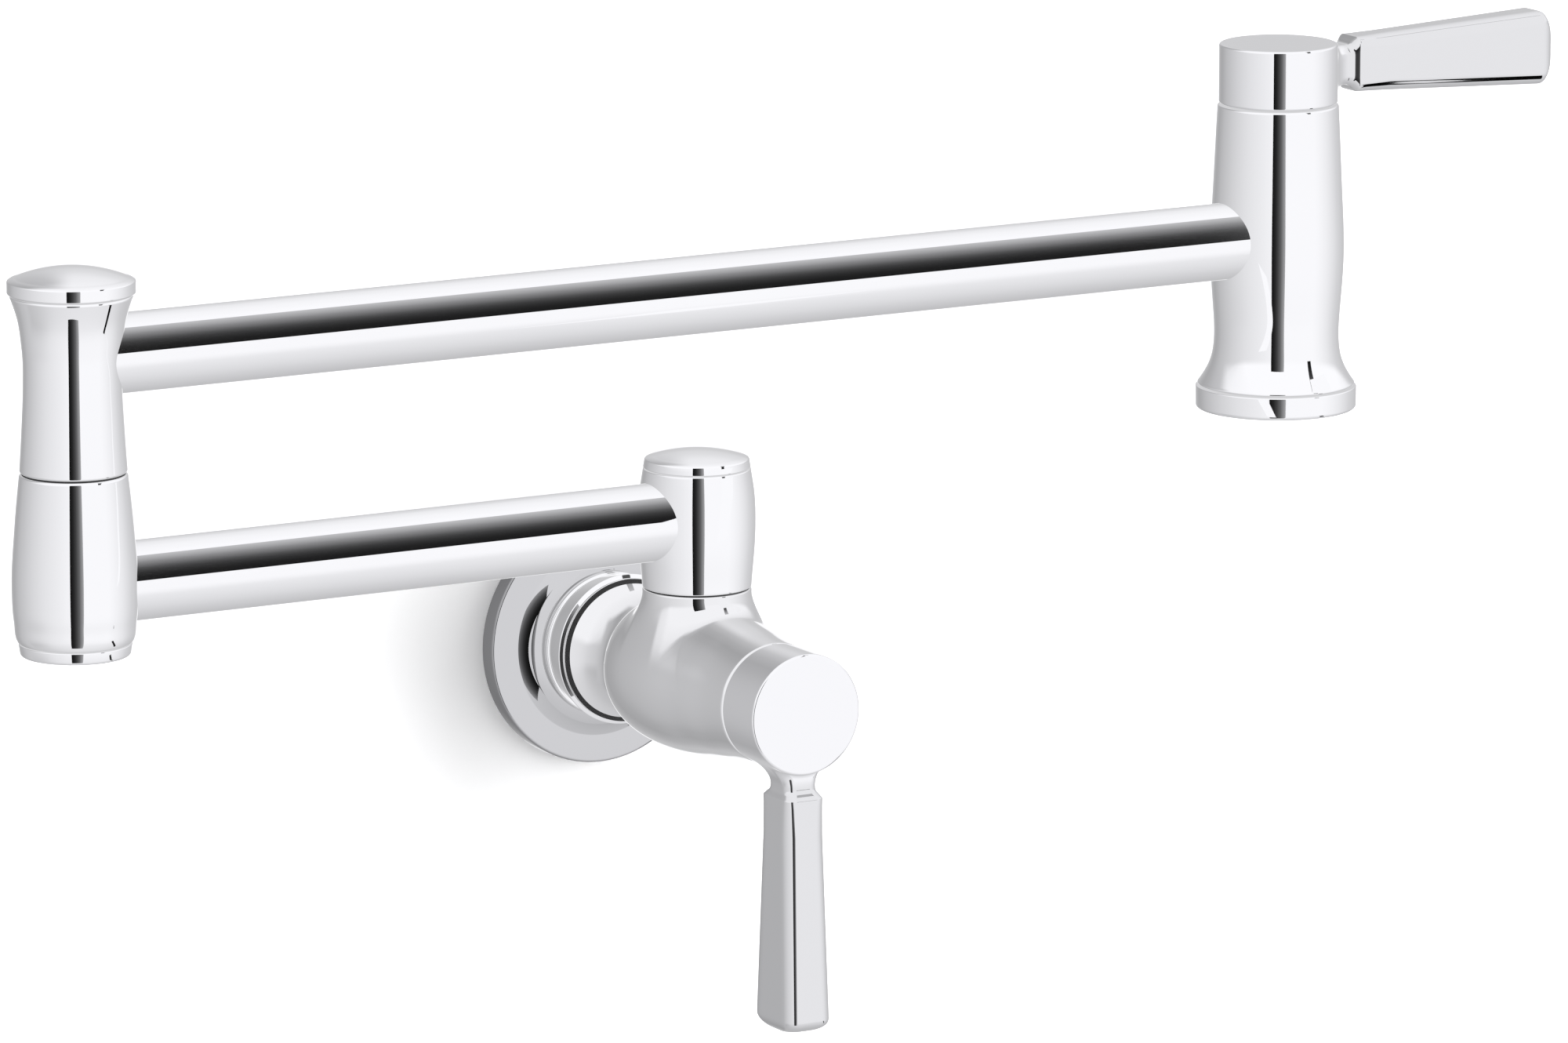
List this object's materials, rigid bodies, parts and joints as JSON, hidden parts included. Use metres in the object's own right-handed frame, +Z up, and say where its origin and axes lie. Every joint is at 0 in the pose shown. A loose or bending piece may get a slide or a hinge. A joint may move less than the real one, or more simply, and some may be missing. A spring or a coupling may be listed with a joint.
{
  "type": "wall mounted pot filler tap",
  "caption": "Chromed wall mounted pot filler: a folding swing arm with swivels at the wall and elbow, a lever valve at the wall and a lever valve at the spout.",
  "frame": {"origin": "On the wall plane, at the centre of the inlet thread's mouth.", "axes": "+Y points into the wall along the inlet, -Y into the room; +X to the right as seen from the room, along the folded arms; +Z up."},
  "size_m": [0.4307, 0.1315, 0.2253],
  "materials": {
    "steel": "zinc plated steel",
    "chrome": "polished chrome plating on brass",
    "brass": "machined brass, unplated",
    "rubber": "black nitrile rubber",
    "ceramic": "ground white alumina",
    "polymer": "white acetal",
    "black_steel": "black oxide steel",
    "polymer_dark": "black acetal"
  },
  "bodies": {
    "wall_body": {"mounting_plate": "steel", "wall_screws": "steel", "inlet_adapter": "brass", "adapter_o_rings": "rubber", "escutcheon": "chrome", "escutcheon_gasket": "rubber", "collar_ring": "chrome", "collar_seal": "rubber", "wall_body": "chrome", "body_set_screw": "black_steel", "wall_cartridge": "brass", "wall_fixed_disc": "ceramic", "wall_seat_seal": "rubber", "wall_bonnet_nut": "brass", "hub_post": "brass", "hub_post_o_rings": "rubber", "hub_thrust_washer": "polymer_dark", "hub_nut_washer": "polymer", "hub_nut": "brass"},
    "wall_handle": {"wall_stem": "brass", "wall_stem_o_ring": "rubber", "wall_moving_disc": "ceramic", "wall_spline_insert": "polymer", "wall_handle": "chrome", "wall_handle_screw": "black_steel"},
    "lower_arm": {"hub_barrel": "chrome", "hub_cap": "chrome", "lower_tube": "chrome", "lower_elbow": "chrome", "elbow_bottom_cap": "chrome", "elbow_post": "brass", "elbow_post_o_rings": "rubber", "elbow_thrust_washer": "polymer_dark", "elbow_nut_washer": "polymer", "elbow_nut": "brass"},
    "upper_arm": {"upper_elbow": "chrome", "elbow_top_cap": "chrome", "upper_tube": "chrome", "spout_body": "chrome", "outlet_ring": "chrome", "aerator_housing": "chrome", "aerator_insert": "polymer", "aerator_washer": "rubber", "spout_cartridge": "brass", "spout_fixed_disc": "ceramic", "spout_seat_seal": "rubber", "spout_bonnet_nut": "brass"},
    "spout_handle": {"spout_stem": "brass", "spout_stem_o_ring": "rubber", "spout_moving_disc": "ceramic", "spout_spline_insert": "polymer", "spout_handle": "chrome", "spout_handle_screw": "black_steel"}
  },
  "joints": [
    {"name": "arm_swing", "type": "hinge", "parent": "wall_body", "child": "lower_arm", "pos_m": [0, -0.0532, 0.0394], "axis": [0, 0, 1], "range_deg": [0, 180]},
    {"name": "elbow_swing", "type": "hinge", "parent": "lower_arm", "child": "upper_arm", "pos_m": [-0.1694, -0.0532, 0.067], "axis": [0, 0, 1], "continuous": true},
    {"name": "wall_valve_turn", "type": "hinge", "parent": "wall_body", "child": "wall_handle", "pos_m": [0, -0.0913, 0], "axis": [0, -1, 0], "range_deg": [0, 90]},
    {"name": "spout_valve_turn", "type": "hinge", "parent": "upper_arm", "child": "spout_handle", "pos_m": [0.167, -0.0532, 0.1281], "axis": [0, 0, -1], "range_deg": [0, 90]}
  ]
}
